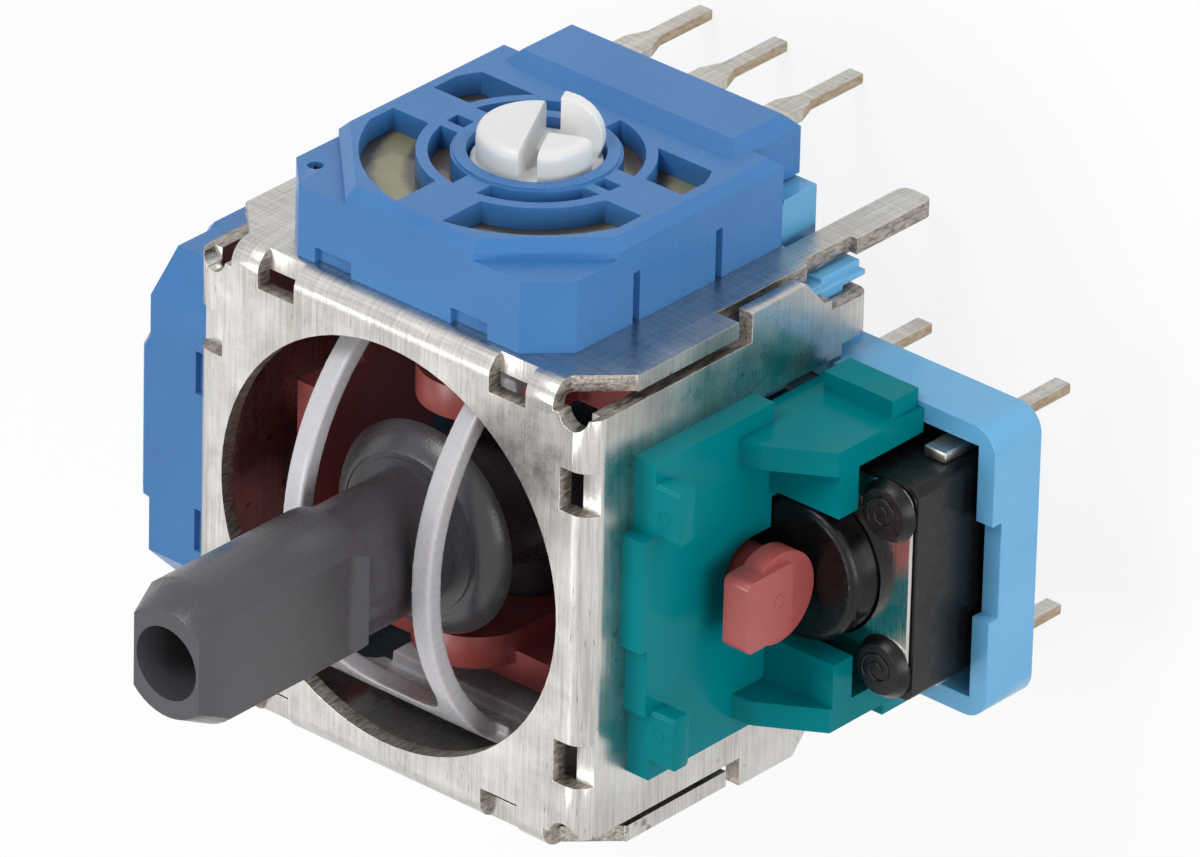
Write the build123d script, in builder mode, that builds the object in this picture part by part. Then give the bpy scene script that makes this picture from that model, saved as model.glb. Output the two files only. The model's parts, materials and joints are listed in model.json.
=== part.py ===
from build123d import *
import math
import os

os.makedirs("parts", exist_ok=True)

# Frame of the part: +Z runs along the stick at rest, the seat on the circuit board is z = 0,
# +X points to the push switch and +Y to one of the two rotary sensors. Sizes in millimetres.

# Sheet-metal frame
frame_half = 6.58
frame_top = 10.85
sheet = 0.45
bend_radius = 0.6
hole_radius = frame_half - 1.0
bend_slot_half = 0.6
bend_slot_centre = 3.83
bend_slot_inner = frame_half - 0.98
bend_slot_drop = 0.45
side_wall_half = frame_half - 0.68
edge_half = frame_half - 0.08
relief_start = frame_half - 1.26
relief_z = 10.18
relief_run = 1.12
shoulder_z = 5.3
leg_width = 1.0
leg_outer = side_wall_half - 0.15
leg_inner = leg_outer - leg_width
leg_tip_z = -2.95
crimp_bottom_z = 0.4
crimp_inner = 4.5
crimp_outer = 5.6
crimp_reach = 1.35
ear_half = frame_half + 0.12
ear_top_z = 4.9
ear_bottom_z = 2.85
window_half = 4.2
window_low_top_z = 4.35
window_upper_half = 2.6
window_top_z = 8.15

# Tilt axes of the stick and their running clearances
pivot_z = 5.55
running = 0.05
trunnion_radius = 1.2
trunnion_clearance = 0.08
key_width = 0.8
key_length = 1.9
key_clearance = 0.06
key_end = 1.6

# Rotary sensors, measured from the centre of the rotor and outward from the frame's wall
pot_half = 4.65
pot_up = 4.7
pot_down = 3.95
pot_ledge = 2.0
pot_face = 2.47
pot_corner = 1.0
pot_ledge_corner = 2.55
pot_bevel = 0.27
pot_wall = 0.3
face_thickness = 0.62
block_half = 3.82
block_start = 3.0
block_end = 5.55
block_low = 1.15
block_top = 2.8
block_bevel = 0.35
ring_inner = 1.75
ring_outer = 2.08
ring_proud = 0.06
inner_window_inner = 2.15
inner_window_outer = 2.7
outer_window_inner = 3.0
outer_window_outer = 4.4
window_side = 4.1
window_low = 2.2
spoke_half = 0.75
inner_spoke_half = 0.38
clip_slot_width = 0.24
clip_slot_height = 1.4
clip_slot_depth = 0.22
clip_slot_up = 1.5
clip_slot_down = 1.57
front_notch_width = 1.2
front_notch_height = 0.45
element_thickness = 0.3
element_end = 4.6
element_hole = 2.0
rotor_disc_radius = 3.6
rotor_disc_start = 0.3
rotor_disc_thickness = 0.75
lobe_radius = 1.66
lobe_top = 3.0
lobe_top_radius = 1.32
barb_radius = 1.83
fin_top = 3.9
fin_width = 1.5
fin_offset = 0.65
fin_start = 0.53
fin_thickness = 0.5
fin_round = 0.9
rotor_slot = 0.55
wiper_thickness = 0.1
wiper_inner = 2.4
wiper_outer = 3.3
wiper_gap = 0.04

# Flat terminals of the sensors
pin_pitch = 2.5
pin_width = 0.94
pin_tip_width = 0.46
pin_thickness = 0.3
pin_tip_z = -3.68
pin_root = 3.2

# Stick
tip_z = 18.85
shaft_radius = 1.93
flat_half = 1.33
shaft_end_z = 13.73
shaft_ramp = 0.6
neck_half = 1.48
neck_side = 1.88
tip_chamfer_length = 0.9
tip_face_radius = 1.48
tip_flat_half = 1.08
tip_bore_radius = 0.99
tip_bore_depth = 3.2
collar_radius = 2.86
collar_z = 9.4
collar_lip = 0.12
collar_rise = 0.66
groove_inner = 2.06
groove_outer = 2.2
groove_depth = 0.07
waist_radius = 1.9
pin_radius = 0.9
pin_end = 3.9
foot_radius = 2.3

# Slotted arch that swings about Y
arch_outer = frame_half - 0.08
arch_inner = arch_outer - 0.5
arch_half = 2.46
slot_half = 1.84
slot_end = 4.4
slot_round = 1.2
arch_plate_outer = side_wall_half
arch_plate_inner = arch_plate_outer - 0.75
arch_plate_drop = 1.7
arch_flange_half = 2.9
arch_flange_start = arch_plate_outer - 1.55
arch_flange_low = 2.3
arch_flange_high = 3.9

# Rocker that swings about X and tips about Y to press the switch
cheek_inner = 3.05
cheek_outer = 3.95
cheek_half = 1.6
cheek_rise = 3.55
rail_inner = 3.6
rail_outer = 4.5
rail_rise = 2.2
rail_high_half = 2.7
rail_low_rise = 1.35
rocker_drop = 1.3
end_wall_rise = 3.2
end_wall_half = 2.0
neck_arm_radius = 0.72
tab_half = 1.0
tab_low = 0.25
tab_high = 1.95
tab_thickness = 0.8
tab_round = 0.2
boss_radius = 1.25
boss_lift = 0.5
boss_thickness = 0.62

# Base plate, spring and cup
base_half = frame_half - 0.53
base_top = 1.45
corner_top = 1.85
floor_z = 0.5
pocket_radius = 2.4
guide_radius = 2.95
guide_top = 2.15
wing_half = 4.45
wing_reach = 7.63
wing_step = 0.3
wing_bottom = 0
wing_top = 1.55
tray_top = 1.78
tray_half = 4.1
tray_wall = 0.55
tray_corner = 0.7
tray_notch = 1.35
tray_notch_depth = 0.35
spring_radius = 1.95
wire_radius = 0.15
spring_turns = 3.5
cup_radius = 2.25
cup_gap = 0.03
cup_thickness = 0.4
skirt_radius = 1.6
skirt_bottom = 1.45

# Push switch
switch_x = frame_half + 1.52
switch_half = 3.0
switch_top = 3.75
cover_thickness = 0.14
cover_half = 2.92
cavity_radius = 2.3
cavity_floor = 1.95
plunger_radius = 1.92
plunger_top = 4.75
plunger_flange_radius = 2.2
plunger_flange_bottom = 3.15
dome_radius = 2.1
dome_rise = 0.5
dome_thickness = 0.1
stake_offset = 2.2
stake_radius = 0.5
stake_head_radius = 0.86
stake_head = 0.26
switch_pin_x = 2.25
switch_pin_width = 0.7
switch_pin_tip_width = 0.5
switch_pin_thickness = 0.3
switch_pin_top = 2.3
switch_pin_tip = -2.65

# Bracket that carries the switch on the frame
bracket_thickness = 0.7
bracket_half = 4.45
bracket_front_z = 9.2
bracket_tongue_z = 9.6
bracket_step_z = 9.37
tongue_start = 2.4
tongue_end = -0.72
step_end = -2.6
bracket_edge_z = 4.8
arm_opening_radius = 0.95
arm_opening_half = 1.8
arm_opening_z = 4.8
lug_out = 0.78
lug_depth = 0.58
lug_width = 1.48
lug_centre = 3.18
arm_outer = 3.96
arm_thickness = 0.68
arm_start_z = 6.1
arm_knee_x = 0.57
arm_knee_z = 6.05
arm_bend_x = 0.77
arm_bend_z = 5.94
arm_end_z = 5.0
arm_pin_clearance = 0.45
web_inner = 2.07
web_top_z = 4.92
hook_start = 0.54
hook_short = 0.2
hook_top_z = 2.75

inner_half = frame_half - sheet
inner_top = frame_top - sheet
element_top = pot_face - face_thickness
element_bottom = element_top - element_thickness
element_low_half = block_half - pot_wall - 0.05
cup_top = pivot_z - foot_radius - cup_gap
cover_top = switch_top + cover_thickness
tray_end = switch_x + switch_half + 0.77
rocker_end_outer = switch_x - switch_half - 0.15
rocker_end_inner = rocker_end_outer - 0.55
arm_reach = switch_x + switch_pin_x - switch_pin_width / 2 - arm_pin_clearance
web_low_z = cover_top + stake_head + running
corners = [(1, 1), (1, -1), (-1, 1), (-1, -1)]


def side(angle, distance, height=0.0):
    """Plane of a side wall: local x runs along the wall, local y is up the stick."""
    c = math.cos(math.radians(angle))
    s = math.sin(math.radians(angle))
    return Plane(origin=(distance * c, distance * s, height), x_dir=(-s, c, 0), z_dir=(c, s, 0))


# Frame: one blank with a round opening, folded down on four sides. Two sides carry the
# solder legs, the other two are crimped round the corners of the base plate.
with BuildPart() as frame_shell:
    with BuildSketch(Plane.XY.offset(crimp_bottom_z)):
        Rectangle(2 * frame_half, 2 * frame_half)
    extrude(amount=frame_top - crimp_bottom_z)
    fillet(frame_shell.faces().sort_by(Axis.Z)[-1].edges(), bend_radius)
    offset(amount=-sheet, openings=frame_shell.faces().sort_by(Axis.Z)[0])
    with BuildSketch(Plane.XY.offset(inner_top - 0.1)):
        Circle(hole_radius)
    extrude(amount=sheet + 0.2, mode=Mode.SUBTRACT)
    # Reliefs in the corners of the blank, where two folds meet
    for sx, sy in corners:
        with BuildSketch(Plane.XY.offset(crimp_bottom_z - 1)):
            with Locations((sx * (inner_half + 1), sy * (side_wall_half + inner_half) / 2)):
                Rectangle(2, inner_half - side_wall_half)
            with Locations((sx * (edge_half + 0.5), sy * (side_wall_half + 1))):
                Rectangle(1, 2)
        extrude(amount=frame_top + 1, mode=Mode.SUBTRACT)
        with BuildSketch(Plane.XY.offset(inner_top - 0.1)):
            with Locations((sx * (side_wall_half + 0.05), sy * (side_wall_half + 0.05))):
                Circle(0.42)
        extrude(amount=sheet + 0.2, mode=Mode.SUBTRACT)
    for angle in (90, 270):
        with BuildSketch(side(angle, side_wall_half)):
            for sx in (1, -1):
                with BuildLine():
                    Polyline(
                        (sx * relief_start, relief_z),
                        (sx * (relief_start + relief_run), relief_z - relief_run),
                        (sx * (frame_half + 1), relief_z - relief_run),
                        (sx * (frame_half + 1), frame_top + 1),
                        (sx * relief_start, frame_top + 1),
                        close=True,
                    )
                make_face()
                with Locations((sx * (leg_outer + 1), shoulder_z / 2)):
                    Rectangle(2, shoulder_z)
            with Locations((0, wing_top / 2)):
                Rectangle(2 * leg_inner, wing_top)
            with Locations((0, pivot_z)):
                Circle(trunnion_radius + running)
        extrude(amount=1, mode=Mode.SUBTRACT)
        # Solder legs
        with BuildSketch(side(angle, inner_half)):
            for sx in (1, -1):
                with Locations((sx * (leg_inner + leg_outer) / 2, (leg_tip_z + crimp_bottom_z + 0.5) / 2)):
                    RectangleRounded(leg_outer - leg_inner, crimp_bottom_z + 0.5 - leg_tip_z, 0.3)
        extrude(amount=sheet)
    for angle in (0, 180):
        with BuildSketch(side(angle, inner_half - 0.6)):
            for sy in (1, -1):
                with Locations((sy * (crimp_outer + 1), (ear_bottom_z - 0.96) / 2)):
                    Rectangle(2, ear_bottom_z - 0.96)
        extrude(amount=2, mode=Mode.SUBTRACT)
        with BuildSketch(side(angle, inner_half)):
            for sy in (1, -1):
                with BuildLine():
                    Polyline(
                        (sy * (side_wall_half - 0.3), ear_top_z),
                        (sy * ear_half, ear_top_z),
                        (sy * ear_half, ear_bottom_z),
                        (sy * crimp_outer, ear_bottom_z - 0.96),
                        (sy * (crimp_outer - 0.3), ear_bottom_z),
                        close=True,
                    )
                make_face()
        extrude(amount=sheet)
        # Crimped tongues turned in under the corners of the base plate
        with BuildSketch(side(angle, frame_half - crimp_reach)):
            for sy in (1, -1):
                with Locations((sy * (crimp_inner + crimp_outer) / 2, crimp_bottom_z + sheet / 2)):
                    Rectangle(crimp_outer - crimp_inner, sheet)
        extrude(amount=crimp_reach)
    with BuildSketch(side(180, inner_half - 0.1)):
        with Locations((0, wing_top / 2)):
            Rectangle(2 * crimp_inner, wing_top)
        with Locations((0, pivot_z)):
            Circle(trunnion_radius + trunnion_clearance)
    extrude(amount=1, mode=Mode.SUBTRACT)
    with BuildSketch(side(0, inner_half - 0.1)):
        with Locations((0, window_low_top_z / 2)):
            Rectangle(2 * window_half, window_low_top_z)
        with Locations((0, base_top / 2)):
            Rectangle(2 * crimp_inner, base_top)
        with Locations((0, (window_low_top_z + window_top_z) / 2 - 0.1)):
            Rectangle(2 * window_upper_half, window_top_z - window_low_top_z + 0.2)
    extrude(amount=1, mode=Mode.SUBTRACT)
    # Short slots across the bends
    for angle in (0, 90, 180, 270):
        with BuildSketch(side(angle, bend_slot_inner, frame_top)):
            with Locations((bend_slot_centre, 0), (-bend_slot_centre, 0)):
                Rectangle(2 * bend_slot_half, 2 * bend_slot_drop)
        extrude(amount=1.5, mode=Mode.SUBTRACT)
    rolled = [
        e
        for e in frame_shell.edges().filter_by(Axis.Y)
        if abs(e.center().Z - crimp_bottom_z) < 0.01 and abs(abs(e.center().X) - frame_half) < 0.01
    ]
    fillet(rolled, 0.4)

frame_shell.part.label = "frame_shell"
export_step(frame_shell.part, "parts/frame_shell.step")

# Base plate: a moulded floor inside the frame, with a tray for the switch, a wing under each
# sensor and a round guide for the spring cup.
with BuildPart() as base_plate:
    with BuildSketch(Plane.XY):
        Rectangle(2 * base_half, 2 * base_half)
        with Locations(((tray_end + base_half) / 2 - 0.5, 0)):
            RectangleRounded(tray_end - base_half + 1, 2 * tray_half, tray_corner)
    extrude(amount=base_top)
    with BuildSketch(Plane.XY.offset(base_top)):
        with Locations(((tray_end + frame_half) / 2, 0)):
            Rectangle(tray_end - frame_half, 2 * tray_half)
        with Locations(((tray_end + base_half) / 2 - 0.5, 0)):
            RectangleRounded(tray_end - base_half + 1, 2 * tray_half, tray_corner, mode=Mode.INTERSECT)
    extrude(amount=tray_top - base_top)
    for angle in (90, 180):
        with BuildSketch(side(angle, base_half - 0.5)):
            with Locations((0, (wing_bottom + wing_top) / 2)):
                Rectangle(2 * wing_half - 0.1, wing_top - wing_bottom)
        extrude(amount=wing_reach - base_half + 0.5 - 0.12)
        with BuildSketch(side(angle, base_half - 0.5)):
            with Locations((0, (wing_bottom + wing_top - wing_step) / 2)):
                Rectangle(2 * wing_half - 0.1, wing_top - wing_step - wing_bottom)
        extrude(amount=wing_reach - base_half + 0.5)
    with BuildSketch(Plane.XY.offset(base_top)):
        for sx, sy in corners:
            with Locations((sx * 5.45, sy * 5.25)):
                Rectangle(1.2, 1.3)
        Circle(guide_radius)
    extrude(amount=corner_top - base_top)
    with BuildSketch(Plane.XY.offset(corner_top)):
        Circle(guide_radius)
    extrude(amount=guide_top - corner_top)
    with BuildSketch(Plane.XY.offset(floor_z)):
        Circle(pocket_radius)
    extrude(amount=5, mode=Mode.SUBTRACT)
    with BuildSketch(Plane.XY.offset(floor_z)):
        with Locations((switch_x, 0)):
            Rectangle(2 * switch_half + 0.1, 2 * switch_half + 0.1)
        with Locations(((base_half + tray_end - tray_wall) / 2 + 0.3, 0)):
            Rectangle(tray_end - tray_wall - base_half - 0.6, 2 * (tray_half - tray_wall))
    extrude(amount=5, mode=Mode.SUBTRACT)
    with BuildSketch(side(0, tray_end - tray_wall - 0.1)):
        with Locations((0.1, tray_top)):
            Rectangle(2 * tray_notch, 2 * tray_notch_depth)
    extrude(amount=1, mode=Mode.SUBTRACT)
    with BuildSketch(Plane.XY.offset(-0.1)):
        for sx, sy in corners:
            with Locations((switch_x + sx * switch_pin_x, sy * (switch_half + switch_pin_thickness / 2))):
                Rectangle(switch_pin_width + 0.12, switch_pin_thickness + 0.1)
    extrude(amount=5, mode=Mode.SUBTRACT)
    # Steps that the crimped tongues of the frame close on
    with BuildSketch(Plane.XY):
        for sx, sy in corners:
            with Locations((sx * (frame_half - crimp_reach + 1), sy * (crimp_inner + crimp_outer) / 2)):
                Rectangle(2, crimp_outer - crimp_inner + 0.2)
    extrude(amount=crimp_bottom_z + sheet, mode=Mode.SUBTRACT)
    with BuildSketch(Plane.XY):
        for sx, sy in corners:
            with Locations((sx * 6.1, sy * 6.1)):
                Rectangle(0.5, 0.5)
    extrude(amount=5, mode=Mode.SUBTRACT)

base_plate.part.label = "base_plate"
export_step(base_plate.part, "parts/base_plate.step")

# Rotary sensors: the same set of pieces, once on the +Y side and once on the -X side
for sensor, angle in (("pot_y", 90), ("pot_x", 180)):
    wall = side(angle, frame_half, pivot_z)
    with BuildPart() as housing:
        with BuildSketch(wall):
            with BuildLine():
                Polyline(
                    (-pot_half, -pot_down),
                    (-pot_half, pot_up - pot_corner),
                    (-pot_half + pot_corner, pot_up),
                    (pot_half - pot_corner, pot_up),
                    (pot_half, pot_up - pot_corner),
                    (pot_half, -pot_down),
                    close=True,
                )
            make_face()
        extrude(amount=pot_ledge)
        with BuildSketch(wall):
            with BuildLine():
                Polyline(
                    (-pot_half, -pot_down),
                    (-pot_half, pot_up - pot_ledge_corner),
                    (-pot_half + pot_ledge_corner, pot_up),
                    (pot_half - pot_ledge_corner, pot_up),
                    (pot_half, pot_up - pot_ledge_corner),
                    (pot_half, -pot_down),
                    close=True,
                )
            make_face()
        extrude(amount=pot_face)
        chamfer(housing.faces().sort_by(Axis((0, 0, 0), tuple(wall.z_dir)))[-1].edges(), pot_bevel)
        # Block over the terminals
        with BuildSketch(wall.offset(block_low)):
            with Locations((0, -(block_start + block_end) / 2)):
                Rectangle(2 * block_half, block_end - block_start)
        extrude(amount=block_top - block_bevel - block_low)
        with BuildSketch(wall.offset(block_top - block_bevel)):
            with Locations((0, -(block_start + block_end) / 2)):
                Rectangle(2 * block_half, block_end - block_start)
        extrude(amount=block_bevel, taper=45)
        with BuildSketch(wall.offset(pot_face - 0.3)):
            Circle(ring_outer)
        extrude(amount=0.3 + ring_proud)
        # Cavity for the rotor and the element
        with BuildSketch(wall):
            with BuildLine():
                Polyline(
                    (-pot_half + pot_wall, -element_end - 0.05),
                    (-pot_half + pot_wall, pot_up - pot_wall - pot_corner),
                    (-pot_half + pot_wall + pot_corner, pot_up - pot_wall),
                    (pot_half - pot_wall - pot_corner, pot_up - pot_wall),
                    (pot_half - pot_wall, pot_up - pot_wall - pot_corner),
                    (pot_half - pot_wall, -element_end - 0.05),
                    close=True,
                )
            make_face()
            with Locations((pot_half, -(block_start + block_end) / 2 - 0.5)):
                Rectangle(2 * (pot_half - block_half + pot_wall), 3, mode=Mode.SUBTRACT)
            with Locations((-pot_half, -(block_start + block_end) / 2 - 0.5)):
                Rectangle(2 * (pot_half - block_half + pot_wall), 3, mode=Mode.SUBTRACT)
        extrude(amount=element_top, mode=Mode.SUBTRACT)
        with BuildSketch(wall.offset(element_top - 0.1)):
            Circle(ring_inner)
        extrude(amount=2, mode=Mode.SUBTRACT)
        # Windows between the ribs of the face
        with BuildSketch(wall.offset(element_top - 0.1)):
            Circle(outer_window_outer)
            Circle(outer_window_inner, mode=Mode.SUBTRACT)
            Rectangle(2 * spoke_half, 12, mode=Mode.SUBTRACT)
            Rectangle(12, 2 * spoke_half, mode=Mode.SUBTRACT)
            with Locations((0, 5 - window_low)):
                Rectangle(2 * window_side, 10, mode=Mode.INTERSECT)
        extrude(amount=1, mode=Mode.SUBTRACT)
        with BuildSketch(wall.offset(element_top - 0.1)):
            Circle(inner_window_outer)
            Circle(inner_window_inner, mode=Mode.SUBTRACT)
            Rectangle(2 * inner_spoke_half, 12, mode=Mode.SUBTRACT)
            with Locations((0, -spoke_half / 2)):
                Rectangle(12, spoke_half / 2 + 0.2, mode=Mode.SUBTRACT)
            with Locations((0, spoke_half / 2 + 0.1)):
                Rectangle(12, 0.3, mode=Mode.SUBTRACT)
        extrude(amount=1, mode=Mode.SUBTRACT)
        # Slots of the side clips and notches over the slots in the frame's bend
        for sx in (1, -1):
            with BuildSketch(wall):
                with Locations((sx * pot_half, clip_slot_up), (sx * pot_half, -clip_slot_down)):
                    Rectangle(2 * clip_slot_depth, clip_slot_width)
            extrude(amount=clip_slot_height, mode=Mode.SUBTRACT)
        with BuildSketch(wall):
            with Locations((2.48, pot_up), (-2.02, pot_up)):
                Rectangle(front_notch_width, 2 * (pot_wall - 0.12))
        extrude(amount=front_notch_height, mode=Mode.SUBTRACT)
        with BuildSketch(wall.offset(pot_ledge - 0.15)):
            with Locations((4.02, 3.68)):
                Circle(0.2)
        extrude(amount=1, mode=Mode.SUBTRACT)
        # Channels of the terminals
        with BuildSketch(wall.offset(element_top)):
            for k in (-1, 0, 1):
                with Locations((k * pin_pitch, -(pin_root + block_end + 0.2) / 2)):
                    Rectangle(pin_width + 0.02, block_end + 0.2 - pin_root)
        extrude(amount=pin_thickness + 0.02, mode=Mode.SUBTRACT)

    housing.part.label = f"{sensor}_housing"
    export_step(housing.part, f"parts/{sensor}_housing.step")

    # Resistive element on its wafer
    with BuildPart() as element:
        with BuildSketch(wall.offset(element_bottom)):
            with BuildLine():
                Polyline(
                    (-element_low_half, -element_end),
                    (-element_low_half, -block_start - 0.1),
                    (-pot_half + pot_wall + 0.03, -2.6),
                    (-pot_half + pot_wall + 0.03, pot_up - pot_wall - pot_corner - 0.05),
                    (-pot_half + pot_wall + pot_corner + 0.03, pot_up - pot_wall - 0.05),
                    (pot_half - pot_wall - pot_corner - 0.03, pot_up - pot_wall - 0.05),
                    (pot_half - pot_wall - 0.03, pot_up - pot_wall - pot_corner - 0.05),
                    (pot_half - pot_wall - 0.03, -2.6),
                    (element_low_half, -block_start - 0.1),
                    (element_low_half, -element_end),
                    close=True,
                )
            make_face()
            Circle(element_hole, mode=Mode.SUBTRACT)
        extrude(amount=element_thickness)

    element.part.label = f"{sensor}_element"
    export_step(element.part, f"parts/{sensor}_element.step")

    # Three terminals that lie on the wafer and leave the block towards the board
    with BuildPart() as terminals:
        with BuildSketch(wall.offset(element_top)):
            for k in (-1, 0, 1):
                with BuildLine():
                    Polyline(
                        (k * pin_pitch - pin_width / 2, -pin_root),
                        (k * pin_pitch + pin_width / 2, -pin_root),
                        (k * pin_pitch + pin_width / 2, pin_tip_z - pivot_z + 2.6),
                        (k * pin_pitch + pin_tip_width / 2, pin_tip_z - pivot_z + 2.0),
                        (k * pin_pitch + pin_tip_width / 2, pin_tip_z - pivot_z),
                        (k * pin_pitch - pin_tip_width / 2, pin_tip_z - pivot_z),
                        (k * pin_pitch - pin_tip_width / 2, pin_tip_z - pivot_z + 2.0),
                        (k * pin_pitch - pin_width / 2, pin_tip_z - pivot_z + 2.6),
                        close=True,
                    )
                make_face()
        extrude(amount=pin_thickness)

    terminals.part.label = f"{sensor}_terminals"
    export_step(terminals.part, f"parts/{sensor}_terminals.step")

    # Rotor: a disc that carries the wiper, a keyed hub and four snap lobes
    with BuildPart() as rotor:
        with BuildSketch(wall.offset(rotor_disc_start)):
            Circle(rotor_disc_radius)
        extrude(amount=rotor_disc_thickness)
        with BuildSketch(wall.offset(running)):
            Circle(element_hole - 0.2)
        extrude(amount=element_top - 0.1 - running)
        with BuildSketch(wall.offset(element_top - 0.2)):
            Circle(lobe_radius)
        extrude(amount=pot_face + ring_proud + running - element_top + 0.2)
        with BuildSketch(wall.offset(pot_face + ring_proud + running)):
            Circle(barb_radius)
        extrude(amount=0.14)
        barb_top = pot_face + ring_proud + running + 0.14
        with BuildSketch(wall.offset(barb_top)):
            Circle(barb_radius)
        with BuildSketch(wall.offset(lobe_top)):
            Circle(lobe_top_radius)
        loft()
        with BuildSketch(wall.offset(element_top)):
            Rectangle(rotor_slot, 3 * barb_radius)
            with Locations((-barb_radius, 0)):
                Rectangle(2 * barb_radius, rotor_slot)
        extrude(amount=fin_top, mode=Mode.SUBTRACT)
        # Upright fin beside the slots, round on one corner
        fin_origin = tuple(wall.from_local_coords(Vector(0, -fin_start, 0)))
        fin_plane = Plane(origin=fin_origin, x_dir=tuple(wall.x_dir), z_dir=tuple(-wall.y_dir))
        fin_edge = -fin_offset - fin_width / 2 + fin_round
        with BuildSketch(fin_plane):
            with Locations((-fin_offset, (element_top + fin_top - fin_round) / 2)):
                Rectangle(fin_width, fin_top - fin_round - element_top)
            with Locations(((fin_edge + fin_width / 2 - fin_offset) / 2, (element_top + fin_top) / 2)):
                Rectangle(fin_width - fin_round, fin_top - element_top)
            with Locations((fin_edge, fin_top - fin_round)):
                Circle(fin_round)
        extrude(amount=fin_thickness)
        with BuildSketch(wall):
            Rectangle(key_width + 2 * key_clearance, key_length + 2 * key_clearance)
        extrude(amount=key_end + 0.1, mode=Mode.SUBTRACT)

    rotor.part.label = f"{sensor}_rotor"
    export_step(rotor.part, f"parts/{sensor}_rotor.step")

    # Wiper: a sprung ring with two raised contact strips
    with BuildPart() as wiper:
        with BuildSketch(wall.offset(rotor_disc_start + rotor_disc_thickness)):
            Circle(wiper_outer)
            Circle(wiper_inner, mode=Mode.SUBTRACT)
            with Locations((0, -5)):
                Rectangle(12, 10 - 0.8, mode=Mode.SUBTRACT)
        extrude(amount=wiper_thickness)
        with BuildSketch(wall.offset(rotor_disc_start + rotor_disc_thickness)):
            with PolarLocations((wiper_inner + wiper_outer) / 2, 2, 35, 110):
                Rectangle(wiper_outer - wiper_inner, 0.35)
        extrude(amount=element_bottom - wiper_gap - rotor_disc_start - rotor_disc_thickness)

    wiper.part.label = f"{sensor}_wiper"
    export_step(wiper.part, f"parts/{sensor}_wiper.step")

# Stick: a flatted shaft with a blind bore, a slim neck that runs in the arch, a domed collar,
# a cross pin along Y and a ball foot
foot_meet = pivot_z + math.sqrt(foot_radius**2 - waist_radius**2)
with BuildPart() as stick:
    with BuildSketch(Plane.XZ):
        with BuildLine():
            Polyline(
                (0, pivot_z - foot_radius),
                (0, tip_z - tip_bore_depth),
                (tip_bore_radius, tip_z - tip_bore_depth),
                (tip_bore_radius, tip_z),
                (tip_face_radius, tip_z),
                (shaft_radius, tip_z - tip_chamfer_length),
                (shaft_radius, shaft_end_z - shaft_ramp),
                (neck_half, shaft_end_z - shaft_ramp),
                (neck_half, collar_z + collar_rise),
                (groove_inner, collar_z + collar_rise),
                (groove_inner, collar_z + collar_rise - groove_depth),
                (groove_outer, collar_z + collar_rise - groove_depth),
                (groove_outer, collar_z + collar_rise - groove_depth / 2),
            )
            ThreePointArc(
                (groove_outer, collar_z + collar_rise - groove_depth / 2),
                (collar_radius - 0.22, collar_z + collar_rise / 2),
                (collar_radius, collar_z),
            )
            Polyline(
                (collar_radius, collar_z),
                (collar_radius - collar_lip, collar_z - collar_lip),
                (waist_radius, collar_z - collar_rise),
                (waist_radius, foot_meet),
            )
            ThreePointArc(
                (waist_radius, foot_meet),
                (foot_radius * math.cos(0.5), pivot_z - foot_radius * math.sin(0.5)),
                (0, pivot_z - foot_radius),
            )
        make_face()
    revolve(axis=Axis.Z)
    with BuildSketch(Plane.XZ):
        for sx in (1, -1):
            with BuildLine():
                Polyline(
                    (sx * flat_half, tip_z - tip_chamfer_length),
                    (sx * tip_flat_half, tip_z),
                    (sx * 3, tip_z),
                    (sx * 3, shaft_end_z - shaft_ramp),
                    (sx * neck_half, shaft_end_z - shaft_ramp),
                    (sx * flat_half, shaft_end_z),
                    close=True,
                )
            make_face()
    extrude(amount=3, both=True, mode=Mode.SUBTRACT)
    with BuildSketch(Plane.XY.offset(collar_z)):
        Ellipse(neck_half, neck_side)
    extrude(amount=shaft_end_z - shaft_ramp - collar_z)
    with BuildSketch(Plane.XZ.offset(-pin_end)):
        with Locations((0, pivot_z)):
            Circle(pin_radius)
    extrude(amount=2 * pin_end)

stick.part.label = "stick"
export_step(stick.part, "parts/stick.step")

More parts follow.
